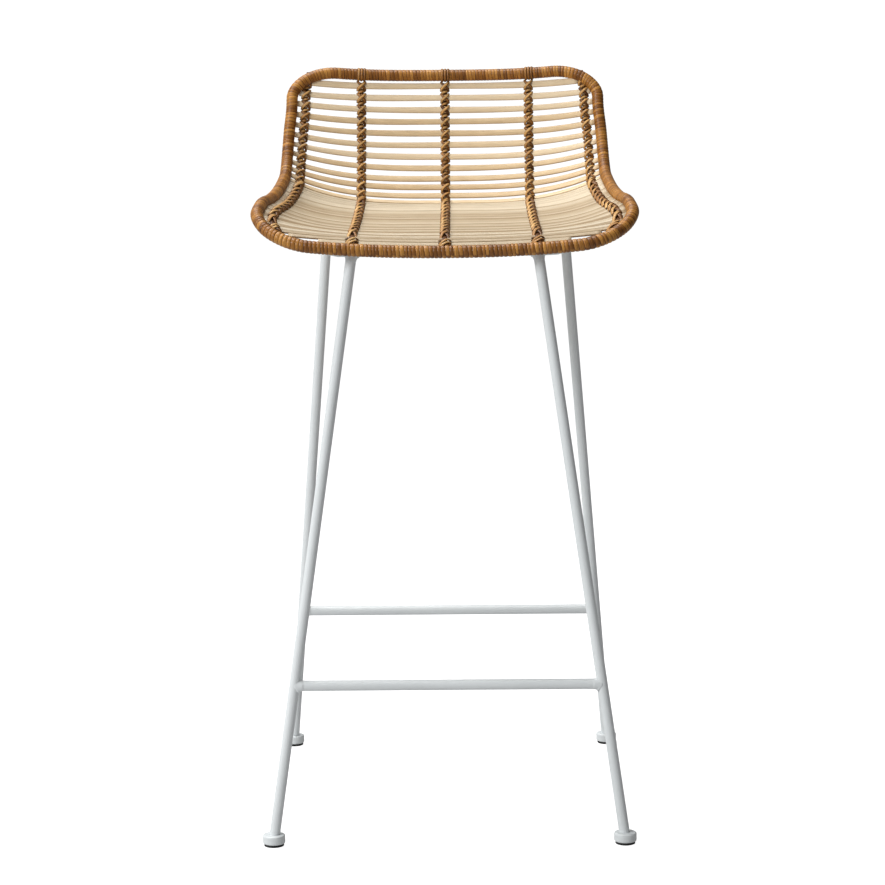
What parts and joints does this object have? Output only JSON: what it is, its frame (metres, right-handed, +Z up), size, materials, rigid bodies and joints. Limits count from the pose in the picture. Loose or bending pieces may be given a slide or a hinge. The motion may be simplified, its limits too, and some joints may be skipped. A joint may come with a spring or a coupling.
{
  "type": "bar stool with footrest",
  "caption": "Backed bar stool: wrapped rattan scoop seat of cane slats on splayed steel rod legs with a footrest bar, a rear crossbar and capped feet.",
  "frame": {"origin": "on the floor, at the middle of the footprint: the bounding box's bottom centre", "axes": "+Z up, -Y towards the front where the sitter's legs go, +X to the right as seen from the front; the stool is symmetric about X = 0"},
  "size_m": [0.4366, 0.4686, 0.869],
  "materials": {
    "frame_steel": "satin white powder coat",
    "foot_cap": "satin white powder coat",
    "foot_pad": "matte black",
    "rim_core_steel": "satin white powder coat",
    "rib_steel": "satin white powder coat",
    "rim_wrap": "satin honey-brown rattan peel",
    "lashing": "satin brown rattan peel",
    "back_cane": "natural pale cane",
    "seat_cane": "natural pale cane"
  },
  "bodies": {
    "root": {"leg_front_left": "frame_steel", "leg_front_right": "frame_steel", "leg_rear_left": "frame_steel", "leg_rear_right": "frame_steel", "footrest_bar_front": "frame_steel", "crossbar_rear": "frame_steel", "under_seat_ring": "frame_steel", "foot_cap_front_left": "foot_cap", "foot_cap_front_right": "foot_cap", "foot_cap_rear_left": "foot_cap", "foot_cap_rear_right": "foot_cap", "foot_pad_front_left": "foot_pad", "foot_pad_front_right": "foot_pad", "foot_pad_rear_left": "foot_pad", "foot_pad_rear_right": "foot_pad", "rim_core": "rim_core_steel", "rim_wrap_front": "rim_wrap", "rim_wrap_left": "rim_wrap", "rim_wrap_right": "rim_wrap", "rim_wrap_top": "rim_wrap", "rib_centre": "rib_steel", "rib_inner_left": "rib_steel", "rib_inner_right": "rib_steel", "rib_outer_left": "rib_steel", "rib_outer_right": "rib_steel", "lashing_centre": "lashing", "lashing_inner_left": "lashing", "lashing_inner_right": "lashing", "lashing_outer_left": "lashing", "lashing_outer_right": "lashing", "back_slat_01": "back_cane", "back_slat_02": "back_cane", "back_slat_03": "back_cane", "back_slat_04": "back_cane", "back_slat_05": "back_cane", "back_slat_06": "back_cane", "back_slat_07": "back_cane", "back_slat_08": "back_cane", "back_slat_09": "back_cane", "back_slat_10": "back_cane", "back_slat_11": "back_cane", "back_slat_12": "back_cane", "seat_slats_1": "seat_cane", "seat_slats_2": "seat_cane", "seat_slats_3": "seat_cane", "seat_slats_4": "seat_cane", "seat_slats_5": "seat_cane", "seat_slats_6": "seat_cane", "seat_slats_7": "seat_cane", "seat_slats_8": "seat_cane", "seat_slats_9": "seat_cane"}
  },
  "joints": []
}
